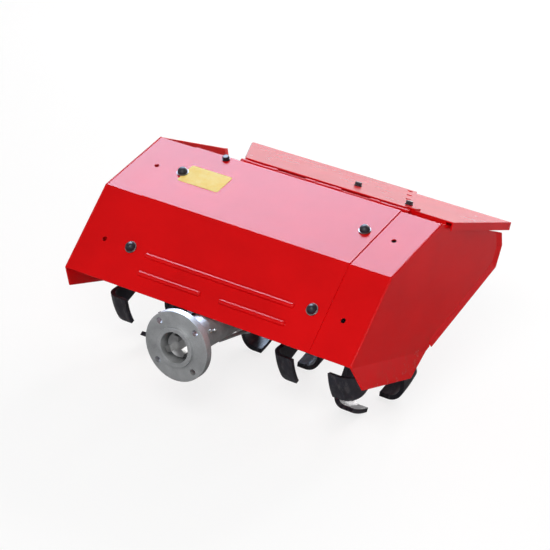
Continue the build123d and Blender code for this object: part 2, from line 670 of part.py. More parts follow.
def main():
    os.makedirs("parts", exist_ok=True)
    save("gear_case", gear_case())
    save("input_neck", input_neck())
    save("coupling_flange", coupling_flange())
    save("input_shaft", input_shaft())
    save("shaft_seals", shaft_seals())
    save("oil_plugs", oil_plugs())
    save("hood_main", hood_main())
    save("hood_bracket", hood_bracket())
    save("neck_bracket", neck_bracket())
    save("hinge_knuckles_hood", hinge_knuckles_hood())
    save("hinge_rod", hinge_rod())
    save("flap_main", flap_main())
    save("flap_side_plate", flap_side_plate())
    save("flap_knuckles", flap_knuckles())
    save("flap_rest", flap_rest())
    save("flap_buffer", flap_buffer())
    save("rear_beam", rear_beam())
    save("skid_sleeve", skid_sleeve())
    save("skid_screw", skid_screw())
    save("skid_bar", skid_bar())
    save("skid_shoe", skid_shoe())
    save("rotor_shaft", rotor_shaft())
    save("hub_bolts", hub_bolts())
    for side, word in ((1, "left"), (-1, "right")):
        save(f"case_cover_{word}", case_cover(side))
        save(f"hood_wing_{word}", hood_wing(side))
        save(f"end_plate_{word}", end_plate(side))
        save(f"wing_bolts_{word}", wing_bolts(side))
        save(f"tine_hub_{word}", tine_hub(side))
        for name, distance, angle, feet in FLANGE_ROWS:
            save(f"tines_{word}_{name}", tine_set(side, distance, angle, feet))


main()
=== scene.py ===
"""Rotary tiller: finishes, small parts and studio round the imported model.

Metres, in the model's frame: +X is the machine's left, +Y its rear, +Z up, floor at Z = 0.
"""

import math

import bpy
from mathutils import Matrix, Vector


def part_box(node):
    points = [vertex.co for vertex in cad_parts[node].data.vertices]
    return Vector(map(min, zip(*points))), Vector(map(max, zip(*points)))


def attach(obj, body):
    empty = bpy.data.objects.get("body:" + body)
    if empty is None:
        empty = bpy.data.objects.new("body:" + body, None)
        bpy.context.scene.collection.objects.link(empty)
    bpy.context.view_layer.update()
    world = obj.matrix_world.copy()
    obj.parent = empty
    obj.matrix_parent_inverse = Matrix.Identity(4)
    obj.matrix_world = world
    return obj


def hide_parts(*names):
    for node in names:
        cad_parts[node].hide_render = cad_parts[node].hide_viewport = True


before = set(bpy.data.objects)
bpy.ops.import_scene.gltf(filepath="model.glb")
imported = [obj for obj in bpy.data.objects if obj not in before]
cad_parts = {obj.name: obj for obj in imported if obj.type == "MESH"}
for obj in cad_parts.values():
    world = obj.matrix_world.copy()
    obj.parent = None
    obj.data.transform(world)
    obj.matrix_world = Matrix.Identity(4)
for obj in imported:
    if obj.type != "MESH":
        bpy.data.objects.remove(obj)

bl_info = {
    "name": "Rotary tiller",
    "version": (1, 0, 0),
    "blender": (4, 5, 0),
    "location": "View3D > Sidebar > Tiller",
    "description": "Finishes a rotary tiller and sets it in a pale studio",
    "category": "Object",
}

# Hood outline in the side view, as (Y, Z)
FRONT_LOW = (-0.226, 0.188)
FRONT_FOLD = (-0.114, 0.313)
RIDGE = (0.048, 0.357)
HALF_WIDTH = 0.300
SEAM_X = 0.217
PLATE = 0.003
SHEET = 0.002
TOP_LENGTH = (Vector(RIDGE) - Vector(FRONT_FOLD)).length
DUST_FULL = 0.085
DUST_NONE = 0.17

# What sits on the hood: distances up a slope from its lower end, and heights of a bolt's parts
TOP_BOLT_RISE = 0.089
FRONT_BOLT_RISE = 0.072
DOME_FOOT = 0.0026
WASHER_FOOT = -0.0045
LABEL_PLACE = (-0.145, 0.091)
RIDGE_BOLT_X = -0.146
RIDGE_BOLT_INSET = 0.008

# Small flange bolt: width and height of its head, radius and thickness of its flange
FLANGE_BOLT = (0.011, 0.0050, 0.0074, 0.0016)

# Rotor
AXLE = (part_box("rotor_shaft")[0].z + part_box("rotor_shaft")[1].z) / 2
HUB_RADIUS = 0.024
HUB_OUTER_X = 0.273
FLANGE_THICKNESS = 0.006
TINE_THICKNESS = 0.008
TINE_SWEEP = 9.0
TINE_TIP_RADIUS = 0.160
TINE_BOLT_RADIUS = 0.045
TINE_BOLT_SPREAD = 0.011
SET_ANGLE = 22.5
STAGGER = 45.0

# Each flange: distance from the middle, angle of its set, which way its feet point
FLANGE_ROWS = [
    (0.091, SET_ANGLE + STAGGER, (1, -1, 1, -1)),
    (0.179, SET_ANGLE, (1, -1, 1, -1)),
    (0.267, SET_ANGLE + STAGGER, (-1, -1, -1, -1)),
]

# Flap and its hinge
HINGE = (0.061, 0.353)
FLAP_SLOPE = math.radians(18.0)
FLAP_LENGTH = 0.2547
FLAP_UNDERSIDE = 0.005
FLAP_SHEET = 0.003
FLAP_TIP_RIGHT = -0.262
FLAP_RIDGE_RIGHT = -0.120
FLAP_LEFT = 0.308
FLAP_SEAM_START = 0.030
FLAP_SEAM_AT_TIP = 0.108
FLAP_BOLTS = ((0.073, 0.084), (0.202, 0.041))
RIVETS_DOWN = (0.112, 0.174, 0.236)
RIVET_INSET = 0.014
LIP_HEIGHT = 0.011

# Gear case and input neck
CASE_HALF_WIDTH = 0.025
COVER_FACE_X = 0.030
COVER_BOLT_CIRCLE = 0.053
COLLAR_FRONT_Y = -0.110
COLLAR_BOLT_CIRCLE = 0.038
NECK_RADIUS = 0.030
COVER_RIB_RADII = (0.0335, 0.0585)
NIPPLE_Y = -0.238
NIPPLE_ANGLE = 62.0

# Depth skid
SKID_Y = 0.250
SKID_BAR_HALF = (0.0225, 0.008)
SLEEVE_HIGH = 0.196
SLEEVE_LOW = 0.150
MARK_LOW = 0.078
MARK_PITCH = 0.010
MARK_SINK = 0.00065
MARK_HALF_LENGTH = 0.009
KNOB_X = 0.0385

# Studio: each lamp's name, setting of its power, place, target, width, height and colour
LAMPS = (
    ("key_lamp", "key_power", (0.95, -2.55, 2.45), (0.0, 0.0, 0.15), 1.9, 1.6, (1.0, 0.985, 0.96)),
    ("rear_lamp", "rear_power", (-0.10, 3.30, 1.45), (0.0, 0.1, 0.20), 2.0, 1.6, (1.0, 0.97, 0.97)),
    ("top_reflector", "card_power", (-1.21, 1.09, 2.22), (0.0, -0.03, 0.33), 2.0, 1.5, (0.58, 0.72, 0.93)),
)
CAMERA_PLACE = (1.814, -2.914, 1.774)
CAMERA_TARGET = (0.0, 0.0, 0.185)
CAMERA_ROLL = 4.02
# Painted shade on the floor's glow seen in glosses: full within the first distance from the tiller, gone
# beyond the second
PAINTED_SHADE_NEAR = 0.6
PAINTED_SHADE_FAR = 2.0


# Settings

def metres(name, description, default, low, high):
    """Setting in metres."""
    return bpy.props.FloatProperty(
        name=name, description=description, default=default, min=low, max=high, unit="LENGTH")


def hue(name, description, default):
    """Setting that is a colour."""
    return bpy.props.FloatVectorProperty(
        name=name, description=description, default=default, min=0.0, max=1.0, subtype="COLOR")


def watts(name, description, default, high):
    """Setting in watts."""
    return bpy.props.FloatProperty(
        name=name, description=description, default=default, min=0.0, max=high, unit="POWER")


class TillerSizes(bpy.types.PropertyGroup):
    """Sizes that a user may change."""
    sheet_edge: metres(
        "Sheet edge", "Radius broken on the edges of the sheet metal", 0.0005, 0.0001, 0.0009)
    plate_edge: metres(
        "Plate edge", "Radius broken on the edges of plates and bars", 0.0009, 0.0002, 0.002)
    weld_radius: metres("Weld size", "Radius of the weld beads", 0.0021, 0.001, 0.004)
    hem_radius: metres(
        "Hem size", "Radius of the rolled hem at the rear edge of the flap", 0.0028, 0.001, 0.004)
    label_length: metres("Label length", "Length of the blank label along the hood", 0.088, 0.03, 0.12)
    label_height: metres("Label height", "Height of the blank label up the slope", 0.050, 0.02, 0.06)
    cast_voxel: metres(
        "Casting grid", "Grid size that rounds the inner corners of the castings", 0.0019, 0.0012, 0.004)


class TillerColours(bpy.types.PropertyGroup):
    """Colours that a user may change."""
    red: hue("Red enamel", "Colour of the painted hood", (0.60, 0.0030, 0.0042))
    black: hue("Black enamel", "Colour of the painted rotor and skid", (0.012, 0.012, 0.019))
    label: hue("Label", "Colour of the blank label", (0.91, 0.66, 0.15))
    casting: hue("Casting", "Colour of the cast aluminium", (0.42, 0.43, 0.44))
    steel: hue("Plated steel", "Colour of the plated fasteners", (0.46, 0.455, 0.44))


class TillerStudio(bpy.types.PropertyGroup):
    """Studio values that a user may change."""
    floor: hue("Floor", "Colour of the studio floor", (0.90, 0.90, 0.90))
    key_power: watts("Key lamp", "Power of the large lamp at the front left", 82.0, 500.0)
    rear_power: watts("Rear lamp", "Power of the large lamp behind the flap", 142.0, 500.0)
    card_power: watts("Reflector", "Power of the reflector seen in the hood's top slope", 222.0, 900.0)
    sky: bpy.props.FloatProperty(
        name="Sky", description="Strength of the even light from all round",
        default=0.32, min=0.0, max=2.0, subtype="FACTOR")
    lens: bpy.props.FloatProperty(
        name="Lens", description="Focal length of the camera in millimetres on a 36 mm sensor",
        default=138.0, min=20.0, max=400.0)


# Modelling helpers

def select_none():
    """Leave edit mode and deselect everything."""
    if bpy.context.object is not None and bpy.context.object.mode != "OBJECT":
        bpy.ops.object.mode_set(mode="OBJECT")
    bpy.ops.object.select_all(action="DESELECT")


def only(piece):
    """Select one piece alone."""
    select_none()
    piece.select_set(True)
    bpy.context.view_layer.objects.active = piece
    return piece


def settled(piece):
    """Put the piece's place, turn and scale into its mesh."""
    only(piece)
    bpy.ops.object.transform_apply(location=True, rotation=True, scale=True)
    return piece


def named(piece, name):
    """Name a piece and its mesh."""
    piece.name = name
    piece.data.name = name
    return piece


def modified(piece, kind, **values):
    """Add a modifier with these values and apply it."""
    only(piece)
    modifier = piece.modifiers.new(kind.lower(), kind)
    for key, value in values.items():
        setattr(modifier, key, value)
    bpy.ops.object.modifier_apply(modifier=modifier.name)
    return piece


def smooth(piece, angle):
    """Shade faces smooth where they meet at less than an angle."""
    only(piece)
    bpy.ops.object.shade_smooth_by_angle(angle=math.radians(angle))
    return piece


def edges_broken(piece, width, segments=2, angle=34.0, shading=40.0):
    """Round the sharp edges of a piece, and keep its flat faces flat in the shading."""
    modified(piece, "BEVEL", width=width, segments=segments, limit_method="ANGLE",
             angle_limit=math.radians(angle), use_clamp_overlap=True)
    smooth(piece, shading)
    return modified(piece, "WEIGHTED_NORMAL", mode="FACE_AREA", weight=100, keep_sharp=True)


def joined(pieces, name):
    """Join pieces into one with a name."""
    select_none()
    for piece in pieces:
        piece.select_set(True)
    bpy.context.view_layer.objects.active = pieces[0]
    if len(pieces) > 1:
        bpy.ops.object.join()
    return settled(named(bpy.context.object, name))


def pick_edges(piece, axis):
    """In edit mode, select only the edges that lie along an axis of the mesh."""
    bpy.ops.object.mode_set(mode="EDIT")
    bpy.ops.mesh.select_all(action="DESELECT")
    bpy.ops.mesh.select_mode(type="EDGE")
    bpy.ops.object.mode_set(mode="OBJECT")
    points = piece.data.vertices
    for edge in piece.data.edges:
        run = points[edge.vertices[1]].co - points[edge.vertices[0]].co
        edge.select = run.length > 0 and abs(run.normalized().dot(axis)) > 0.99
    bpy.ops.object.mode_set(mode="EDIT")


def pick_faces(piece, test):
    """In edit mode, select only the faces whose polygon passes a test."""
    bpy.ops.object.mode_set(mode="EDIT")
    bpy.ops.mesh.select_all(action="DESELECT")
    bpy.ops.mesh.select_mode(type="FACE")
    bpy.ops.object.mode_set(mode="OBJECT")
    for polygon in piece.data.polygons:
        polygon.select = test(polygon)
    bpy.ops.object.mode_set(mode="EDIT")


def copy_of(node):
    """Merged copy of a node of the model, as a new piece in the same place."""
    piece = bpy.data.objects.new(node + "_finish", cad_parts[node].data.copy())
    bpy.context.scene.collection.objects.link(piece)
    piece.data.materials.clear()
    only(piece)
    bpy.ops.object.mode_set(mode="EDIT")
    bpy.ops.mesh.select_all(action="SELECT")
    bpy.ops.mesh.remove_doubles(threshold=0.00001)
    bpy.ops.mesh.dissolve_limited(angle_limit=math.radians(0.6))
    bpy.ops.object.mode_set(mode="OBJECT")
    if piece.data.has_custom_normals:
        bpy.ops.mesh.customdata_custom_splitnormals_clear()
    return piece


def dressed(piece, body, material, slot, *nodes):
    """Give a finished piece its material and body, and hide the nodes it stands for. The slot is not used."""
    if not piece.data.materials:
        piece.data.materials.append(material)
    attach(piece, body)
    if nodes:
        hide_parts(*nodes)
    return piece


def refined(node, body, material, slot, edge, segments=2, angle=34.0, shading=40.0):
    """Copy of a node with broken edges, which stands for it."""
    piece = edges_broken(copy_of(node), edge, segments, angle, shading)
    return dressed(piece, body, material, slot, node)


def cast(node, body, material, slot, voxel):
    """Copy of a cast node with soft inner and outer corners, which stands for it."""
    piece = copy_of(node)
    modified(piece, "REMESH", mode="VOXEL", voxel_size=voxel, adaptivity=0.0)
    modified(piece, "SMOOTH", factor=0.5, iterations=6)
    modified(piece, "DECIMATE", decimate_type="COLLAPSE", ratio=0.6)
    smooth(piece, 60.0)
    return dressed(piece, body, material, slot, node)


def slope_matrix(start, end, rise, x, lift=0.0):
    """Place on a hood slope, with Z out of the sheet and Y up the slope."""
    run = Vector((0.0, end[0] - start[0], end[1] - start[1])).normalized()
    normal = Vector((0.0, -run.z, run.y))
    point = Vector((x, start[0], start[1])) + run * rise + normal * lift
    turn = Matrix((Vector((1.0, 0.0, 0.0)), run, normal)).transposed().to_4x4()
    return Matrix.Translation(point) @ turn


def flap_matrix(x, down, lift):
    """Place on the flap, with Z out of the sheet and Y down the flap."""
    run = Vector((0.0, math.cos(FLAP_SLOPE), -math.sin(FLAP_SLOPE)))
    normal = Vector((0.0, math.sin(FLAP_SLOPE), math.cos(FLAP_SLOPE)))
    point = Vector((x, HINGE[0], HINGE[1])) + run * down + normal * lift
    turn = Matrix((Vector((1.0, 0.0, 0.0)), run, normal)).transposed().to_4x4()
    return Matrix.Translation(point) @ turn


def seam_x(down):
    """Where the slanted seam of the flap lies at a distance from the hinge."""
    share = max(0.0, down - FLAP_SEAM_START) / (FLAP_LENGTH - FLAP_SEAM_START)
    return SEAM_X + share * (FLAP_SEAM_AT_TIP - SEAM_X)


def aimed(point, direction):
    """Place whose Z axis points in a direction."""
    turn = Vector(direction).to_track_quat("Z", "Y").to_matrix().to_4x4()
    return Matrix.Translation(Vector(point)) @ turn


def rotor_point(radius, angle, x=0.0, side=0.0):
    """Point on the rotor at an angle from straight up, and sideways from that line."""
    turn = math.radians(angle)
    y = radius * math.sin(turn) + side * math.cos(turn)
    z = radius * math.cos(turn) - side * math.sin(turn)
    return Vector((x, y, AXLE + z))


def lumpy(piece, size, strength):
    """Uneven surface of a hand-laid bead or a casting."""
    texture = bpy.data.textures.new(piece.name + "_lumps", "CLOUDS")
    texture.noise_scale = size
    modified(piece, "DISPLACE", texture=texture, strength=strength, mid_level=0.5, texture_coords="LOCAL")
    return piece


def straight_bead(start, end, radius):
    """Weld bead between two points."""
    start, end = Vector(start), Vector(end)
    run = end - start
    select_none()
    bpy.ops.mesh.primitive_cylinder_add(
        vertices=8, radius=radius, depth=run.length, end_fill_type="TRIFAN")
    bead = bpy.context.object
    pick_edges(bead, Vector((0.0, 0.0, 1.0)))
    bpy.ops.mesh.subdivide(number_cuts=max(2, int(run.length / 0.0018)))
    bpy.ops.object.mode_set(mode="OBJECT")
    bead.matrix_world = aimed((start + end) / 2, run)
    settled(bead)
    lumpy(bead, 0.0028, radius * 0.55)
    return smooth(bead, 75.0)


def slope_bead(start, end, x, low, high, lift, radius):
    """Weld bead along a hood slope, from one rise to another."""
    foot = slope_matrix(start, end, low, x, lift).translation
    head = slope_matrix(start, end, high, x, lift).translation
    return straight_bead(foot, head, radius)


def ring_bead(centre, direction, ring_radius, radius):
    """Weld bead round a bar."""
    select_none()
    bpy.ops.mesh.primitive_torus_add(
        major_radius=ring_radius, minor_radius=radius, major_segments=64, minor_segments=8)
    bead = bpy.context.object
    bead.matrix_world = aimed(centre, direction)
    settled(bead)
    lumpy(bead, 0.0028, radius * 0.55)
    return smooth(bead, 75.0)


def bar(start, end, radius, sides=20, edge=0.0004):
    """Round bar between two points with broken ends."""
    start, end = Vector(start), Vector(end)
    select_none()
    bpy.ops.mesh.primitive_cylinder_add(vertices=sides, radius=radius, depth=(end - start).length)
    piece = bpy.context.object
    piece.matrix_world = aimed((start + end) / 2, end - start)
    settled(piece)
    return edges_broken(piece, edge, 2, 50.0)


def strip(size, axis, edge, place):
    """Flat strip of sheet at a place, with the edges along one of its axes rounded."""
    select_none()
    bpy.ops.mesh.primitive_cube_add(size=1.0)
    piece = bpy.context.object
    piece.scale = size
    settled(piece)
    along = Vector((0.0, 0.0, 0.0))
    along[axis] = 1.0
    pick_edges(piece, along)
    bpy.ops.mesh.bevel(offset=edge, segments=2)
    bpy.ops.object.mode_set(mode="OBJECT")
    piece.matrix_world = place
    return smooth(settled(piece), 40.0)


def hexagon(width, height):
    """Six-sided head with a raised chamfered crown, standing on Z = 0."""
    select_none()
    bpy.ops.mesh.primitive_cylinder_add(
        vertices=6, radius=width / math.sqrt(3.0), depth=height, location=(0.0, 0.0, height / 2))
    head = settled(bpy.context.object)
    pick_faces(head, lambda polygon: polygon.normal.z > 0.9)
    bpy.ops.mesh.inset(thickness=width * 0.09)
    bpy.ops.transform.translate(value=(0.0, 0.0, width * 0.045))
    bpy.ops.object.mode_set(mode="OBJECT")
    return edges_broken(head, 0.0005, 2, 20.0)


def round_plate(radius, thickness, edge=0.0003):
    """Washer or disc standing on Z = 0, with its rim broken."""
    select_none()
    bpy.ops.mesh.primitive_cylinder_add(
        vertices=32, radius=radius, depth=thickness, location=(0.0, 0.0, thickness / 2))
    plate = settled(bpy.context.object)
    return edges_broken(plate, edge, 2, 50.0)


def hex_bolt(name, width, height, washer_radius, washer=0.0014):
    """Hexagon bolt on its washer, standing on Z = 0."""
    disc = round_plate(washer_radius, washer)
    head = hexagon(width, height)
    head.location.z = washer
    return joined([disc, settled(head)], name)


def stud_nut(name, width, height, stud_radius):
    """Nut with the end of its bolt standing through it."""
    nut = hexagon(width, height)
    stud = round_plate(stud_radius, height + 0.0022, edge=0.0006)
    return joined([nut, stud], name)


def stamped(pattern, name, places):
    """Copies of a pattern at several places, joined into one piece."""
    copies = []
    for place in places:
        only(pattern)
        bpy.ops.object.duplicate(linked=False)
        one = bpy.context.object
        one.matrix_world = place
        copies.append(one)
    bpy.data.objects.remove(pattern)
    return joined(copies, name)


# Materials

def new_material(name):
    """Empty material with a surface shader, and its node tree."""
    made = bpy.data.materials.new(name)
    made.use_nodes = True
    tree = made.node_tree
    return made, tree, tree.nodes["Principled BSDF"]


def finish(describe):
    """Material made once, from a function that gives its surface's inputs as numbers or sockets."""
    name = describe.__name__ + "_finish"

    def material():
        if name not in bpy.data.materials:
            made, tree, surface = new_material(name)
            for key, value in describe(tree).items():
                if isinstance(value, (int, float)):
                    surface.inputs[key].default_value = value
                else:
                    tree.links.new(value, surface.inputs[key])
        return bpy.data.materials[name]

    return material


def place_of(tree):
    """Object coordinates."""
    return tree.nodes.new("ShaderNodeTexCoord").outputs["Object"]


def noise(tree, scale, detail=2.0, roughness=0.5, stretch=None):
    """Noise factor at a scale per metre, stretched along an axis if asked."""
    node = tree.nodes.new("ShaderNodeTexNoise")
    node.inputs["Scale"].default_value = scale
    node.inputs["Detail"].default_value = detail
    node.inputs["Roughness"].default_value = roughness
    where = place_of(tree)
    if stretch is not None:
        mapping = tree.nodes.new("ShaderNodeMapping")
        mapping.inputs["Scale"].default_value = stretch
        tree.links.new(where, mapping.inputs["Vector"])
        where = mapping.outputs["Vector"]
    tree.links.new(where, node.inputs["Vector"])
    return node.outputs[0]


def steps(tree, factor, *stops):
    """Colour ramp through (position, grey or colour) stops."""
    node = tree.nodes.new("ShaderNodeValToRGB")
    elements = node.color_ramp.elements
    while len(elements) < len(stops):
        elements.new(0.5)
    for element, (position, value) in zip(elements, stops):
        element.position = position
        element.color = (*value, 1.0) if hasattr(value, "__len__") else (value, value, value, 1.0)
    tree.links.new(factor, node.inputs["Fac"])
    return node.outputs["Color"]


def combined(tree, operation, first, second):
    """Two numbers or sockets through one maths node."""
    node = tree.nodes.new("ShaderNodeMath")
    node.operation = operation
    for index, value in enumerate((first, second)):
        if isinstance(value, (int, float)):
            node.inputs[index].default_value = value
        else:
            tree.links.new(value, node.inputs[index])
    return node.outputs[0]


def ranged(tree, value, low, high, to_low, to_high):
    """Number carried from one range to another, held at its ends."""
    node = tree.nodes.new("ShaderNodeMapRange")
    for key, number in (("From Min", low), ("From Max", high), ("To Min", to_low), ("To Max", to_high)):
        node.inputs[key].default_value = number
    tree.links.new(value, node.inputs["Value"])
    return node.outputs["Result"]


def mixed(tree, factor, first, second):
    """Mix of two colours or colour sockets."""
    node = tree.nodes.new("ShaderNodeMix")
    node.data_type = "RGBA"
    tree.links.new(factor, node.inputs["Factor"])
    for index, value in ((6, first), (7, second)):
        if hasattr(value, "is_linked"):
            tree.links.new(value, node.inputs[index])
        else:
            node.inputs[index].default_value = (*value, 1.0)
    return node.outputs[2]


def bumped(tree, height, strength, distance, under=None):
    """Bump from a height, over another bump if there is one."""
    node = tree.nodes.new("ShaderNodeBump")
    node.inputs["Strength"].default_value = strength
    node.inputs["Distance"].default_value = distance
    tree.links.new(height, node.inputs["Height"])
    if under is not None:
        tree.links.new(under, node.inputs["Normal"])
    return node.outputs["Normal"]


def shade(colour, factor):
    """Colour made darker or lighter."""
    return tuple(min(1.0, part * factor) for part in colour)


def height_of(tree):
    """Height over the floor."""
    node = tree.nodes.new("ShaderNodeSeparateXYZ")
    tree.links.new(place_of(tree), node.inputs["Vector"])
    return node.outputs["Z"]


def from_axle(tree):
    """Distance from the rotor's axis."""
    node = tree.nodes.new("ShaderNodeSeparateXYZ")
    tree.links.new(place_of(tree), node.inputs["Vector"])
    rise = combined(tree, "SUBTRACT", node.outputs["Z"], AXLE)
    rise_squared = combined(tree, "POWER", rise, 2.0)
    squares = combined(tree, "ADD", rise_squared, combined(tree, "POWER", node.outputs["Y"], 2.0))
    return combined(tree, "SQRT", squares, 0.0)


@finish
def red_enamel(tree):
    """Gloss red paint, nearly flat, with dust towards the ground."""
    colour = bpy.context.scene.tiller_colours.red
    cloud = steps(tree, noise(tree, 9.0, 3.0), (0.32, shade(colour, 0.93)), (0.68, shade(colour, 1.05)))
    low_down = ranged(tree, height_of(tree), DUST_FULL, DUST_NONE, 1.0, 0.0)
    patches = ranged(tree, noise(tree, 55.0, 5.0, 0.7), 0.5, 0.72, 0.0, 0.55)
    grime = combined(tree, "MULTIPLY", low_down, patches)
    base = mixed(tree, grime, cloud, (0.16, 0.055, 0.035))
    film = ranged(tree, noise(tree, 26.0, 4.0, 0.6), 0.3, 0.75, 0.18, 0.22)
    rough = combined(tree, "ADD", film, combined(tree, "MULTIPLY", grime, 0.5))
    waves = bumped(tree, noise(tree, 14.0, 1.0), 0.004, 0.0010)
    peel = bumped(tree, noise(tree, 420.0, 1.0), 0.003, 0.0002, waves)
    return {"Base Color": base, "Roughness": rough, "Specular IOR Level": 0.11, "Normal": peel}


@finish
def black_enamel(tree):
    """Blue-black paint, rubbed through to steel at the tips of the tines."""
    colour = bpy.context.scene.tiller_colours.black
    reach = ranged(tree, from_axle(tree), TINE_TIP_RADIUS - 0.016, TINE_TIP_RADIUS + 0.001, 0.0, 1.0)
    scratch = ranged(tree, noise(tree, 150.0, 5.0, 0.75, (1.0, 0.35, 0.35)), 0.50, 0.66, 0.0, 1.0)
    rubbed = combined(tree, "MULTIPLY", combined(tree, "MULTIPLY", reach, scratch), 0.55)
    paint = steps(tree, noise(tree, 34.0, 3.0), (0.30, shade(colour, 0.8)), (0.70, shade(colour, 1.5)))
    base = mixed(tree, rubbed, paint, (0.17, 0.165, 0.17))
    metal = combined(tree, "MULTIPLY", rubbed, 0.8)
    rough = ranged(tree, noise(tree, 70.0, 4.0, 0.6), 0.3, 0.7, 0.30, 0.44)
    forged = bumped(tree, noise(tree, 90.0, 3.0, 0.6), 0.22, 0.0009)
    peel = bumped(tree, noise(tree, 620.0, 2.0), 0.14, 0.0002, forged)
    return {"Base Color": base, "Metallic": metal, "Roughness": rough, "Specular IOR Level": 0.5,
            "Normal": peel}


@finish
def cast_aluminium(tree):
    """Sand-cast aluminium with a fine grain and darker pits."""
    colour = bpy.context.scene.tiller_colours.casting
    pits = noise(tree, 420.0, 4.0, 0.65)
    tone = steps(tree, noise(tree, 30.0, 4.0, 0.6), (0.30, shade(colour, 0.78)), (0.70, shade(colour, 1.18)))
    base = mixed(tree, ranged(tree, pits, 0.28, 0.42, 0.55, 0.0), tone, shade(colour, 0.35))
    rough = ranged(tree, pits, 0.3, 0.7, 0.62, 0.46)
    grain = bumped(tree, pits, 0.30, 0.0006)
    normal = bumped(tree, noise(tree, 1300.0, 2.0), 0.18, 0.0002, grain)
    return {"Base Color": base, "Metallic": 0.75, "Roughness": rough, "Normal": normal}


@finish
def plated_steel(tree):
    """Zinc-plated steel with a faint yellow bloom."""
    colour = bpy.context.scene.tiller_colours.steel
    patches = noise(tree, 75.0, 3.0, 0.6)
    yellow = (0.52, 0.47, 0.36)
    bloom = steps(tree, patches, (0.30, shade(colour, 0.72)), (0.52, tuple(colour)), (0.75, yellow))
    rough = ranged(tree, noise(tree, 260.0, 4.0, 0.6), 0.3, 0.7, 0.24, 0.40)
    normal = bumped(tree, noise(tree, 1500.0, 2.0), 0.10, 0.0001)
    return {"Base Color": bloom, "Metallic": 1.0, "Roughness": rough, "Normal": normal}


@finish
def washer_steel(tree):
    """Dull grey washer steel, darker in places."""
    tone = steps(tree, noise(tree, 110.0, 3.0), (0.30, 0.15), (0.70, 0.27))
    rough = ranged(tree, noise(tree, 260.0, 3.0), 0.3, 0.7, 0.36, 0.50)
    normal = bumped(tree, noise(tree, 1500.0, 2.0), 0.10, 0.0001)
    return {"Base Color": tone, "Metallic": 1.0, "Roughness": rough, "Normal": normal}


@finish
def turned_steel(tree):
    """Bright turned steel, with fine tool marks round the rotor's axis."""
    tone = steps(tree, noise(tree, 60.0, 3.0), (0.30, 0.42), (0.70, 0.58))
    marks = bumped(tree, noise(tree, 900.0, 1.0, 0.5, (1.0, 0.04, 0.04)), 0.22, 0.0002)
    return {"Base Color": tone, "Metallic": 1.0, "Roughness": 0.30, "Normal": marks}


@finish
def black_plastic(tree):
    """Black moulded knob with a soft shine."""
    tone = steps(tree, noise(tree, 120.0, 3.0), (0.30, (0.008, 0.008, 0.012)), (0.70, (0.020, 0.020, 0.028)))
    rough = ranged(tree, noise(tree, 300.0, 3.0), 0.3, 0.7, 0.30, 0.44)
    normal = bumped(tree, noise(tree, 900.0, 2.0), 0.12, 0.0002)
    return {"Base Color": tone, "Roughness": rough, "Specular IOR Level": 0.30, "Normal": normal}


@finish
def rubber(tree):
    """Matt black rubber with a fine grain."""
    tone = steps(tree, noise(tree, 200.0, 4.0), (0.30, 0.012), (0.70, 0.030))
    rough = ranged(tree, noise(tree, 420.0, 3.0), 0.3, 0.7, 0.62, 0.82)
    normal = bumped(tree, noise(tree, 1200.0, 3.0), 0.30, 0.0003)
    return {"Base Color": tone, "Roughness": rough, "Normal": normal}


@finish
def label_film(tree):
    """Blank yellow label film, a little paler where it has been rubbed."""
    colour = bpy.context.scene.tiller_colours.label
    tone = steps(tree, noise(tree, 60.0, 4.0, 0.65), (0.35, tuple(colour)), (0.72, (0.95, 0.76, 0.27)))
    rough = ranged(tree, noise(tree, 180.0, 3.0), 0.3, 0.7, 0.45, 0.60)
    normal = bumped(tree, noise(tree, 85.0, 2.0), 0.12, 0.0003)
    return {"Base Color": tone, "Roughness": rough, "Specular IOR Level": 0.06, "Normal": normal}


class Step:
    """What every operator here does when it runs."""

    def execute(self, context):
        self.make(context, context.scene.tiller_sizes)
        return {"FINISHED"}


# Pieces of the hood

class TILLER_OT_hood(Step, bpy.types.Operator):
    """Panels and end plates of the hood with broken sheet edges"""
    bl_idname = "tiller.hood"
    bl_label = "Hood panels"

    def make(self, context, sizes):
        for node in ("hood_main", "hood_wing_left", "hood_wing_right"):
            refined(node, "frame", red_enamel(), "red_enamel", sizes.sheet_edge, 2, 25.0, 30.0)
        for node in ("end_plate_left", "end_plate_right"):
            refined(node, "frame", red_enamel(), "red_enamel", sizes.plate_edge, 3, 8.0, 30.0)


class TILLER_OT_hood_welds(Step, bpy.types.Operator):
    """Ground weld beads where the wings meet the end plates"""
    bl_idname = "tiller.hood_welds"
    bl_label = "Hood welds"

    def make(self, context, sizes):
        radius = sizes.weld_radius * 0.72
        for side, word in ((1, "left"), (-1, "right")):
            x = side * (HALF_WIDTH - PLATE * 0.75)
            beads = []
            for start, end in ((FRONT_LOW, FRONT_FOLD), (FRONT_FOLD, RIDGE)):
                length = (Vector(end) - Vector(start)).length
                beads.append(slope_bead(start, end, x, 0.001, length, -0.0004, radius))
            welds = joined(beads, "hood_weld_" + word)
            dressed(welds, "frame", red_enamel(), "red_enamel")


class TILLER_OT_adjusting_bolts(Step, bpy.types.Operator):
    """Black domed adjusting bolts on dull washers, with plated nuts"""
    bl_idname = "tiller.adjusting_bolts"
    bl_label = "Adjusting bolts"

    def make(self, context, sizes):
        top = slope_matrix(FRONT_FOLD, RIDGE, TOP_BOLT_RISE, 0.0, SHEET + DOME_FOOT)
        front = slope_matrix(FRONT_LOW, FRONT_FOLD, FRONT_BOLT_RISE, 0.0, SHEET + DOME_FOOT)
        slopes = [top.inverted(), front.inverted()]
        for word in ("left", "right"):
            piece = copy_of("wing_bolts_" + word)
            edges_broken(piece, 0.0004, 2, 50.0)
            for material in (plated_steel(), black_plastic(), washer_steel()):
                piece.data.materials.append(material)
            for polygon in piece.data.polygons:
                centre = polygon.center
                height = min(((place @ centre) for place in slopes), key=lambda point: abs(point.y)).z
                if height > 0.0:
                    polygon.material_index = 1
                elif height > WASHER_FOOT:
                    polygon.material_index = 2
                else:
                    polygon.material_index = 0
            dressed(piece, "frame", None, "bright_steel", "wing_bolts_" + word)


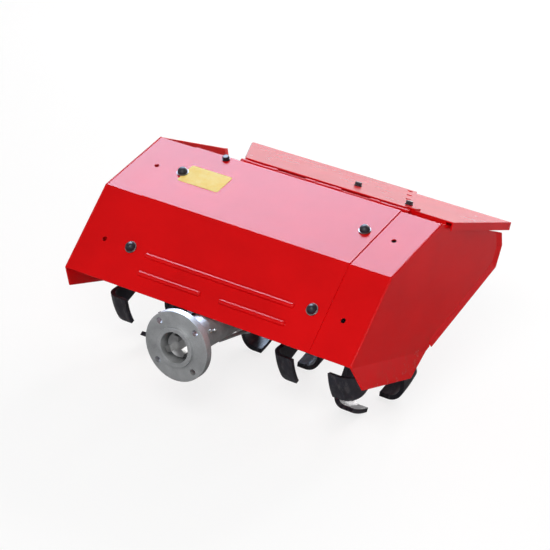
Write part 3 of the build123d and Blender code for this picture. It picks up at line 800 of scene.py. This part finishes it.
class TILLER_OT_flange_bolts(Step, bpy.types.Operator):
    """Black flange bolts at the ridge and on the flap"""
    bl_idname = "tiller.flange_bolts"
    bl_label = "Flange bolts"

    def make(self, context, sizes):
        head = hex_bolt("ridge_bolt", *FLANGE_BOLT)
        place = slope_matrix(FRONT_FOLD, RIDGE, TOP_LENGTH - RIDGE_BOLT_INSET, RIDGE_BOLT_X, SHEET)
        bolt = stamped(head, "ridge_bolt", [place])
        dressed(bolt, "frame", black_plastic(), "black_enamel")
        face = FLAP_UNDERSIDE + FLAP_SHEET - 0.0001
        places = [flap_matrix(x, down, face) for x, down in FLAP_BOLTS]
        bolts = stamped(hex_bolt("flap_bolt", *FLANGE_BOLT), "flap_bolts", places)
        dressed(bolts, "flap", black_plastic(), "black_enamel")


class TILLER_OT_label(Step, bpy.types.Operator):
    """Blank yellow label on the top slope"""
    bl_idname = "tiller.label"
    bl_label = "Blank label"

    def make(self, context, sizes):
        select_none()
        bpy.ops.mesh.primitive_plane_add(size=1.0)
        label = bpy.context.object
        label.scale = (sizes.label_length, sizes.label_height, 1.0)
        settled(label)
        bpy.ops.object.mode_set(mode="EDIT")
        bpy.ops.mesh.select_all(action="SELECT")
        bpy.ops.mesh.bevel(offset=0.004, segments=5, affect="VERTICES")
        bpy.ops.mesh.inset(thickness=0.0022)
        bpy.ops.transform.translate(value=(0.0, 0.0, 0.0001))
        bpy.ops.object.mode_set(mode="OBJECT")
        modified(label, "SOLIDIFY", thickness=0.0003, offset=1.0)
        x, rise = LABEL_PLACE
        label.matrix_world = slope_matrix(FRONT_FOLD, RIDGE, rise, x, SHEET + 0.0003)
        settled(label)
        smooth(label, 30.0)
        dressed(named(label, "blank_label"), "frame", label_film(), "red_enamel")


# Pieces of the flap

class TILLER_OT_flap(Step, bpy.types.Operator):
    """Flap sheets with a rolled hem, lips, a gusset, a patch at the hinge and painted rivets"""
    bl_idname = "tiller.flap"
    bl_label = "Rear flap"

    def make(self, context, sizes):
        refined("flap_main", "flap", red_enamel(), "red_enamel", sizes.sheet_edge)
        refined("flap_side_plate", "flap", red_enamel(), "red_enamel", sizes.sheet_edge)
        down = FLAP_LENGTH - sizes.hem_radius
        lift = FLAP_UNDERSIDE + 0.0003
        main_hem = bar(flap_matrix(FLAP_TIP_RIGHT + 0.002, down, lift).translation,
                       flap_matrix(FLAP_SEAM_AT_TIP - 0.032, down, lift).translation,
                       sizes.hem_radius, 20, 0.001)
        side_hem = bar(flap_matrix(FLAP_SEAM_AT_TIP + 0.003, down - 0.002, lift - FLAP_SHEET).translation,
                       flap_matrix(FLAP_LEFT - 0.002, down - 0.002, lift - FLAP_SHEET).translation,
                       sizes.hem_radius, 20, 0.001)
        slant = bar(flap_matrix(FLAP_RIDGE_RIGHT - 0.012, 0.024, lift + 0.0004).translation,
                    flap_matrix(FLAP_TIP_RIGHT + 0.004, down - 0.004, lift + 0.0004).translation,
                    0.0022, 16, 0.0008)
        lip_low = FLAP_UNDERSIDE - LIP_HEIGHT
        lips = []
        for low, high in ((FLAP_RIDGE_RIGHT - 0.002, SEAM_X), (SEAM_X + 0.004, HALF_WIDTH - 0.006)):
            lip_place = flap_matrix((low + high) / 2, 0.0115, lip_low + 0.0055)
            lips.append(strip((high - low, 0.002, LIP_HEIGHT), 0, 0.0007, lip_place))
        gusset_place = flap_matrix(HALF_WIDTH - 0.0093, 0.061, FLAP_UNDERSIDE - FLAP_SHEET - 0.0040)
        gusset = strip((0.0015, 0.098, 0.010), 1, 0.0005, gusset_place)
        patch_place = flap_matrix(SEAM_X + 0.0070, 0.0205, FLAP_UNDERSIDE + FLAP_SHEET / 2)
        patch = strip((0.0145, 0.0215, FLAP_SHEET), 0, 0.0007, patch_place)
        hem = joined([main_hem, side_hem, slant, gusset, patch, *lips], "flap_hem")
        smooth(hem, 50.0)
        dressed(hem, "flap", red_enamel(), "red_enamel")
        rivet = round_plate(0.0048, 0.0013, 0.0010)
        places = []
        for down in RIVETS_DOWN:
            places.append(flap_matrix(seam_x(down) - RIVET_INSET, down, FLAP_UNDERSIDE + FLAP_SHEET - 0.0002))
        rivets = stamped(rivet, "flap_rivets", places)
        dressed(rivets, "flap", red_enamel(), "red_enamel")


class TILLER_OT_hinge(Step, bpy.types.Operator):
    """Hinge barrels, their rod and the flap's rubber rest"""
    bl_idname = "tiller.hinge"
    bl_label = "Flap hinge"

    def make(self, context, sizes):
        refined("hinge_knuckles_hood", "frame", red_enamel(), "red_enamel", sizes.sheet_edge)
        refined("flap_knuckles", "flap", red_enamel(), "red_enamel", sizes.sheet_edge)
        refined("hinge_rod", "frame", red_enamel(), "red_enamel", 0.0004)
        refined("flap_rest", "frame", red_enamel(), "red_enamel", sizes.plate_edge)
        refined("flap_buffer", "frame", rubber(), "rubber", sizes.plate_edge, 3)


# Pieces of the drive

class TILLER_OT_gear_case(Step, bpy.types.Operator):
    """Cast gear case with its covers, seals, oil plugs, cover bolts and ribs"""
    bl_idname = "tiller.gear_case"
    bl_label = "Gear case"

    def make(self, context, sizes):
        cast("gear_case", "frame", cast_aluminium(), "cast_aluminium", sizes.cast_voxel)
        for word in ("left", "right"):
            refined("case_cover_" + word, "frame", cast_aluminium(), "cast_aluminium", 0.0014, 3)
        refined("shaft_seals", "frame", rubber(), "rubber", 0.0006, 2)
        refined("oil_plugs", "frame", plated_steel(), "bright_steel", 0.0007, 2)
        ribs = []
        for side in (1, -1):
            for index in range(8):
                angle = 22.5 + 45.0 * index
                inner, outer = (rotor_point(radius, angle, side * COVER_FACE_X) for radius in COVER_RIB_RADII)
                ribs.append(bar(inner, outer, 0.0022, 12, 0.0008))
        cover_ribs = joined(ribs, "case_cover_ribs")
        smooth(cover_ribs, 50.0)
        dressed(cover_ribs, "frame", cast_aluminium(), "cast_aluminium")
        places = []
        for side in (1, -1):
            for index in range(8):
                point = rotor_point(COVER_BOLT_CIRCLE, 45.0 * index, side * (COVER_FACE_X - 0.0001))
                places.append(aimed(point, (side, 0.0, 0.0)))
        bolts = stamped(hex_bolt("cover_bolt", 0.008, 0.0040, 0.0066, 0.0010), "case_cover_bolts", places)
        dressed(bolts, "frame", plated_steel(), "bright_steel")


class TILLER_OT_input_neck(Step, bpy.types.Operator):
    """Cast neck with gussets, collar bolts, grease nipple, flange and input shaft"""
    bl_idname = "tiller.input_neck"
    bl_label = "Input neck"

    def make(self, context, sizes):
        refined("input_neck", "frame", cast_aluminium(), "cast_aluminium", 0.0014, 3)
        refined("coupling_flange", "frame", cast_aluminium(), "cast_aluminium", 0.0011, 2)
        refined("input_shaft", "input", turned_steel(), "bright_steel", 0.0007, 2)
        gussets = []
        for angle in (45.0, 135.0, 225.0, 315.0):
            turn = math.radians(angle)
            out = Vector((math.sin(turn), 0.0, math.cos(turn)))
            base = Vector((0.0, 0.0, AXLE))
            near = base + out * 0.0405 + Vector((0.0, COLLAR_FRONT_Y + 0.002, 0.0))
            far = base + out * (NECK_RADIUS - 0.0015) + Vector((0.0, COLLAR_FRONT_Y - 0.090, 0.0))
            gussets.append(bar(near, far, 0.0034, 16, 0.001))
        ribs = joined(gussets, "neck_gussets")
        smooth(ribs, 50.0)
        dressed(ribs, "frame", cast_aluminium(), "cast_aluminium")
        places = []
        for index in range(6):
            turn = math.radians(60.0 * index + 15.0)
            x = COLLAR_BOLT_CIRCLE * math.sin(turn)
            z = AXLE + COLLAR_BOLT_CIRCLE * math.cos(turn)
            places.append(aimed((x, COLLAR_FRONT_Y + 0.0001, z), (0.0, -1.0, 0.0)))
        bolts = stamped(hex_bolt("collar_bolt", 0.010, 0.0055, 0.0072, 0.0012), "neck_collar_bolts", places)
        dressed(bolts, "frame", plated_steel(), "bright_steel")
        turn = math.radians(NIPPLE_ANGLE)
        out = Vector((math.sin(turn), 0.0, math.cos(turn)))
        foot = Vector((0.0, NIPPLE_Y, AXLE)) + out * (NECK_RADIUS - 0.001)
        base = hexagon(0.007, 0.004)
        base.matrix_world = aimed(foot, out)
        stem = bar(foot + out * 0.003, foot + out * 0.010, 0.0021, 16, 0.0005)
        select_none()
        bpy.ops.mesh.primitive_uv_sphere_add(
            segments=16, ring_count=10, radius=0.0029, location=foot + out * 0.0115)
        tip = bpy.context.object
        bpy.ops.transform.resize(value=(1.0, 1.0, 0.85))
        nipple = joined([settled(base), stem, settled(tip)], "grease_nipple")
        smooth(nipple, 50.0)
        dressed(nipple, "frame", plated_steel(), "bright_steel")


class TILLER_OT_brackets(Step, bpy.types.Operator):
    """Brackets between the drive, the hood and the skid, with their welds"""
    bl_idname = "tiller.brackets"
    bl_label = "Brackets"

    def make(self, context, sizes):
        for node in ("hood_bracket", "neck_bracket", "rear_beam", "skid_sleeve"):
            refined(node, "frame", red_enamel(), "red_enamel", sizes.plate_edge, 2)
        radius = sizes.weld_radius
        beads = []
        for side in (1, -1):
            for x in (CASE_HALF_WIDTH, CASE_HALF_WIDTH + 0.006):
                beads.append(slope_bead(FRONT_FOLD, RIDGE, side * x, 0.082, 0.130, -0.005, radius))
            beads.append(slope_bead(FRONT_FOLD, RIDGE, side * 0.060, 0.070, 0.130, -SHEET, radius))
            beads.append(slope_bead(FRONT_LOW, FRONT_FOLD, side * 0.004, 0.022, 0.090, -0.005, radius))
        sleeve_front = SKID_Y - SKID_BAR_HALF[1] - 0.0005 - 0.010
        for side in (1, -1):
            x = side * 0.016
            for y, low, high in ((sleeve_front, SLEEVE_LOW + 0.006, SLEEVE_HIGH - 0.006),
                                 (0.084, AXLE - 0.014, AXLE + 0.024)):
                beads.append(straight_bead((x, y, low), (x, y, high), radius))
        welds = joined(beads, "bracket_welds")
        dressed(welds, "frame", red_enamel(), "red_enamel")


# Pieces of the rotor

class TILLER_OT_rotor(Step, bpy.types.Operator):
    """Rotor shaft, hubs with welded flanges, hub bolts and end caps"""
    bl_idname = "tiller.rotor"
    bl_label = "Rotor hubs"

    def make(self, context, sizes):
        refined("rotor_shaft", "rotor", turned_steel(), "bright_steel", 0.0008)
        refined("hub_bolts", "rotor", plated_steel(), "bright_steel", 0.0006)
        beads = []
        caps = []
        for side, word in ((1, "left"), (-1, "right")):
            refined("tine_hub_" + word, "rotor", black_enamel(), "black_enamel", sizes.plate_edge)
            for distance, _, _ in FLANGE_ROWS:
                for face in (1, -1):
                    x = side * distance + face * FLANGE_THICKNESS / 2
                    if abs(x) < HUB_OUTER_X - 0.002:
                        beads.append(ring_bead((x, 0.0, AXLE), (1.0, 0.0, 0.0), HUB_RADIUS, 0.0024))
            cap = round_plate(0.0195, 0.0035, 0.001)
            crown = hexagon(0.013, 0.0060)
            crown.location.z = 0.0034
            cap = joined([cap, settled(crown)], "hub_cap_" + word)
            cap.matrix_world = aimed((side * (HUB_OUTER_X - 0.0005), 0.0, AXLE), (side, 0.0, 0.0))
            caps.append(settled(cap))
        welds = joined(beads, "hub_welds")
        dressed(welds, "rotor", black_enamel(), "black_enamel")
        cap = joined(caps, "hub_caps")
        smooth(cap, 40.0)
        dressed(cap, "rotor", plated_steel(), "bright_steel")


class TILLER_OT_tines(Step, bpy.types.Operator):
    """Forged tines with rounded edges"""
    bl_idname = "tiller.tines"
    bl_label = "Tines"

    def make(self, context, sizes):
        for word in ("left", "right"):
            for row in ("inner", "middle", "outer"):
                refined(f"tines_{word}_{row}", "rotor", black_enamel(), "black_enamel", 0.0013, 2, 40.0)


class TILLER_OT_tine_bolts(Step, bpy.types.Operator):
    """Two bolts with nuts through every tine and its flange"""
    bl_idname = "tiller.tine_bolts"
    bl_label = "Tine bolts"

    def make(self, context, sizes):
        for side, word in ((1, "left"), (-1, "right")):
            heads = []
            nuts = []
            for distance, set_angle, feet in FLANGE_ROWS:
                for index, foot in enumerate(feet):
                    outwards = side * foot
                    angle = set_angle + 90.0 * index - TINE_SWEEP
                    for spread in (-TINE_BOLT_SPREAD, TINE_BOLT_SPREAD):
                        x = side * distance
                        tine_face = x + outwards * (FLANGE_THICKNESS / 2 + TINE_THICKNESS - 0.0001)
                        flange_face = x - outwards * (FLANGE_THICKNESS / 2 - 0.0001)
                        point = rotor_point(TINE_BOLT_RADIUS, angle, tine_face, spread)
                        heads.append(aimed(point, (outwards, 0.0, 0.0)))
                        point = rotor_point(TINE_BOLT_RADIUS, angle, flange_face, spread)
                        nuts.append(aimed(point, (-outwards, 0.0, 0.0)))
            bolts = stamped(hex_bolt("tine_bolt", 0.013, 0.0055, 0.0085, 0.0013), "tine_bolts_" + word, heads)
            dressed(bolts, "rotor", plated_steel(), "bright_steel")
            ends = stamped(stud_nut("tine_nut", 0.013, 0.0065, 0.0039), "tine_nuts_" + word, nuts)
            dressed(ends, "rotor", plated_steel(), "bright_steel")


# Pieces of the depth skid

class TILLER_OT_skid(Step, bpy.types.Operator):
    """Depth skid with its clamp screw and knobs, welds and depth marks"""
    bl_idname = "tiller.skid"
    bl_label = "Depth skid"

    def make(self, context, sizes):
        refined("skid_bar", "skid", black_enamel(), "black_enamel", sizes.plate_edge)
        refined("skid_shoe", "skid", black_enamel(), "black_enamel", sizes.plate_edge)
        refined("skid_screw", "frame", plated_steel(), "bright_steel", 0.0008)
        marks = []
        for step in range(7):
            height = MARK_LOW + MARK_PITCH * step
            y = SKID_Y + SKID_BAR_HALF[1] - MARK_SINK
            start, end = ((x, y, height) for x in (-MARK_HALF_LENGTH, MARK_HALF_LENGTH))
            marks.append(bar(start, end, 0.0008, 10, 0.0002))
        notches = joined(marks, "skid_depth_marks")
        dressed(notches, "skid", plated_steel(), "bright_steel")
        beads = []
        for side in (1, -1):
            x = side * SKID_BAR_HALF[0]
            for y in (SKID_Y - SKID_BAR_HALF[1], SKID_Y + SKID_BAR_HALF[1]):
                beads.append(straight_bead((x, y, 0.012), (x, y, 0.056), sizes.weld_radius))
        welds = joined(beads, "skid_welds")
        dressed(welds, "skid", black_enamel(), "black_enamel")
        knobs = []
        box_low, box_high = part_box("skid_screw")
        y = box_high.y - 0.006
        z = (box_low.z + box_high.z) / 2
        for side in (1, -1):
            select_none()
            bpy.ops.mesh.primitive_uv_sphere_add(segments=24, ring_count=14, radius=0.0062)
            knob = bpy.context.object
            bpy.ops.transform.resize(value=(1.15, 1.0, 1.0))
            knob.location = (side * KNOB_X, y, z)
            knobs.append(smooth(settled(knob), 60.0))
        ends = joined(knobs, "skid_screw_knobs")
        dressed(ends, "frame", black_plastic(), "rubber")


# Stage

def light_path_share(tree):
    """One for rays from the camera, a gloss or a glass, and nought for the rest."""
    path = tree.nodes.new("ShaderNodeLightPath")
    seen = combined(tree, "MAXIMUM", path.outputs["Is Camera Ray"], path.outputs["Is Glossy Ray"])
    return combined(tree, "MAXIMUM", seen, path.outputs["Is Transmission Ray"])


def floor_distance(tree):
    """Distance along the floor from the tiller's middle."""
    node = tree.nodes.new("ShaderNodeVectorMath")
    node.operation = "LENGTH"
    tree.links.new(place_of(tree), node.inputs[0])
    return node.outputs["Value"]


def floor_material(colour):
    """Pale matt floor that glows for the camera, and for glosses only far from the tiller: a painted shade
    darkens its glow in reflections near the tiller, and a blue tint colours it there.
    """
    made, tree, surface = new_material("studio_floor")
    tint = steps(tree, noise(tree, 1.5, 2.0), (0.3, shade(colour, 0.99)), (0.7, shade(colour, 1.01)))
    tree.links.new(tint, surface.inputs["Base Color"])
    surface.inputs["Roughness"].default_value = 0.9
    surface.inputs["Specular IOR Level"].default_value = 0.0
    glow = tree.nodes.new("ShaderNodeEmission")
    gloss = tree.nodes.new("ShaderNodeLightPath").outputs["Is Glossy Ray"]
    # Painted shade and tint: what glosses see of the floor's glow is tinted blue, and darkened near the
    # tiller as if shadowed
    tree.links.new(mixed(tree, gloss, (1.0, 1.0, 1.0), (0.86, 0.89, 1.0)), glow.inputs["Color"])
    near = ranged(tree, floor_distance(tree), PAINTED_SHADE_NEAR, PAINTED_SHADE_FAR, 1.0, -0.15)
    strength = combined(tree, "SUBTRACT", 1.0, combined(tree, "MULTIPLY", gloss, near))
    tree.links.new(strength, glow.inputs["Strength"])
    mix = tree.nodes.new("ShaderNodeMixShader")
    share = combined(tree, "MULTIPLY", light_path_share(tree), 0.78)
    tree.links.new(share, mix.inputs["Fac"])
    tree.links.new(surface.outputs["BSDF"], mix.inputs[1])
    tree.links.new(glow.outputs["Emission"], mix.inputs[2])
    tree.links.new(mix.outputs["Shader"], tree.nodes["Material Output"].inputs["Surface"])
    return made


def area_lamp(name, place, target, width, height, power, colour):
    """Rectangular lamp at a place, facing a target."""
    lamp = bpy.data.lights.new(name, "AREA")
    lamp.shape = "RECTANGLE"
    lamp.size = width
    lamp.size_y = height
    lamp.energy = power
    lamp.color = colour
    holder = bpy.data.objects.new(name, lamp)
    bpy.context.scene.collection.objects.link(holder)
    holder.location = place
    holder.rotation_euler = (Vector(target) - Vector(place)).to_track_quat("-Z", "Y").to_euler()
    return holder


class TILLER_OT_stage(Step, bpy.types.Operator):
    """Pale floor, soft lamps, sky and camera"""
    bl_idname = "tiller.stage"
    bl_label = "Studio"

    def make(self, context, sizes):
        studio = context.scene.tiller_studio
        select_none()
        bpy.ops.mesh.primitive_plane_add(size=60.0)
        floor = named(bpy.context.object, "studio_floor")
        floor.data.materials.append(floor_material(tuple(studio.floor)))

        for name, setting, place, target, width, height, colour in LAMPS:
            lamp = area_lamp(name, place, target, width, height, getattr(studio, setting), colour)
            lamp.visible_diffuse = name != "top_reflector"

        world = bpy.data.worlds.new("studio_sky")
        context.scene.world = world
        world.use_nodes = True
        tree = world.node_tree
        light = tree.nodes["Background"]
        light.inputs["Color"].default_value = (0.96, 0.98, 1.0, 1.0)
        light.inputs["Strength"].default_value = studio.sky
        seen = tree.nodes.new("ShaderNodeBackground")
        seen.inputs["Strength"].default_value = 1.0
        split = tree.nodes.new("ShaderNodeSeparateXYZ")
        tree.links.new(tree.nodes.new("ShaderNodeTexCoord").outputs["Generated"], split.inputs["Vector"])
        tone = steps(tree, split.outputs["Z"], (0.12, 1.0), (0.55, 0.30))
        tree.links.new(tone, seen.inputs["Color"])
        mix = tree.nodes.new("ShaderNodeMixShader")
        tree.links.new(light_path_share(tree), mix.inputs["Fac"])
        tree.links.new(light.outputs["Background"], mix.inputs[1])
        tree.links.new(seen.outputs["Background"], mix.inputs[2])
        tree.links.new(mix.outputs["Shader"], tree.nodes["World Output"].inputs["Surface"])

        context.scene.view_settings.view_transform = "Standard"
        eye = Vector(CAMERA_PLACE)
        ahead = (Vector(CAMERA_TARGET) - eye).normalized()
        right = ahead.cross(Vector((0.0, 0.0, 1.0))).normalized()
        up = right.cross(ahead)
        roll = math.radians(CAMERA_ROLL)
        tilted_right = right * math.cos(roll) + up * math.sin(roll)
        tilted_up = up * math.cos(roll) - right * math.sin(roll)
        lens = bpy.data.cameras.new("camera")
        lens.sensor_width = 36.0
        lens.lens = studio.lens
        camera = bpy.data.objects.new("camera", lens)
        context.scene.collection.objects.link(camera)
        turn = Matrix((tilted_right, tilted_up, -ahead)).transposed().to_4x4()
        camera.matrix_world = Matrix.Translation(eye) @ turn
        context.scene.camera = camera


OPERATORS = (
    TILLER_OT_hood, TILLER_OT_hood_welds, TILLER_OT_adjusting_bolts, TILLER_OT_flange_bolts, TILLER_OT_label,
    TILLER_OT_flap, TILLER_OT_hinge, TILLER_OT_gear_case, TILLER_OT_input_neck, TILLER_OT_brackets,
    TILLER_OT_rotor, TILLER_OT_tines, TILLER_OT_tine_bolts, TILLER_OT_skid, TILLER_OT_stage,
)


class TILLER_PT_steps(bpy.types.Panel):
    """Steps that dress the tiller"""
    bl_label = "Tiller"
    bl_idname = "TILLER_PT_steps"
    bl_space_type = "VIEW_3D"
    bl_region_type = "UI"
    bl_category = "Tiller"

    def draw(self, context):
        layout = self.layout
        scene = context.scene
        for group in (scene.tiller_sizes, scene.tiller_colours, scene.tiller_studio):
            for key in group.__annotations__:
                layout.prop(group, key)
        for operator in OPERATORS:
            layout.operator(operator.bl_idname)


CLASSES = (TillerSizes, TillerColours, TillerStudio, *OPERATORS, TILLER_PT_steps)


def register():
    for made in CLASSES:
        bpy.utils.register_class(made)
    bpy.types.Scene.tiller_sizes = bpy.props.PointerProperty(type=TillerSizes)
    bpy.types.Scene.tiller_colours = bpy.props.PointerProperty(type=TillerColours)
    bpy.types.Scene.tiller_studio = bpy.props.PointerProperty(type=TillerStudio)


def unregister():
    del bpy.types.Scene.tiller_studio
    del bpy.types.Scene.tiller_colours
    del bpy.types.Scene.tiller_sizes
    for made in reversed(CLASSES):
        bpy.utils.unregister_class(made)


def main():
    """Dress the tiller, one operator after another."""
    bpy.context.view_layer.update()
    register()
    for operator in OPERATORS:
        group, step = operator.bl_idname.split(".")
        getattr(getattr(bpy.ops, group), step)()


if __name__ == "__main__":
    main()
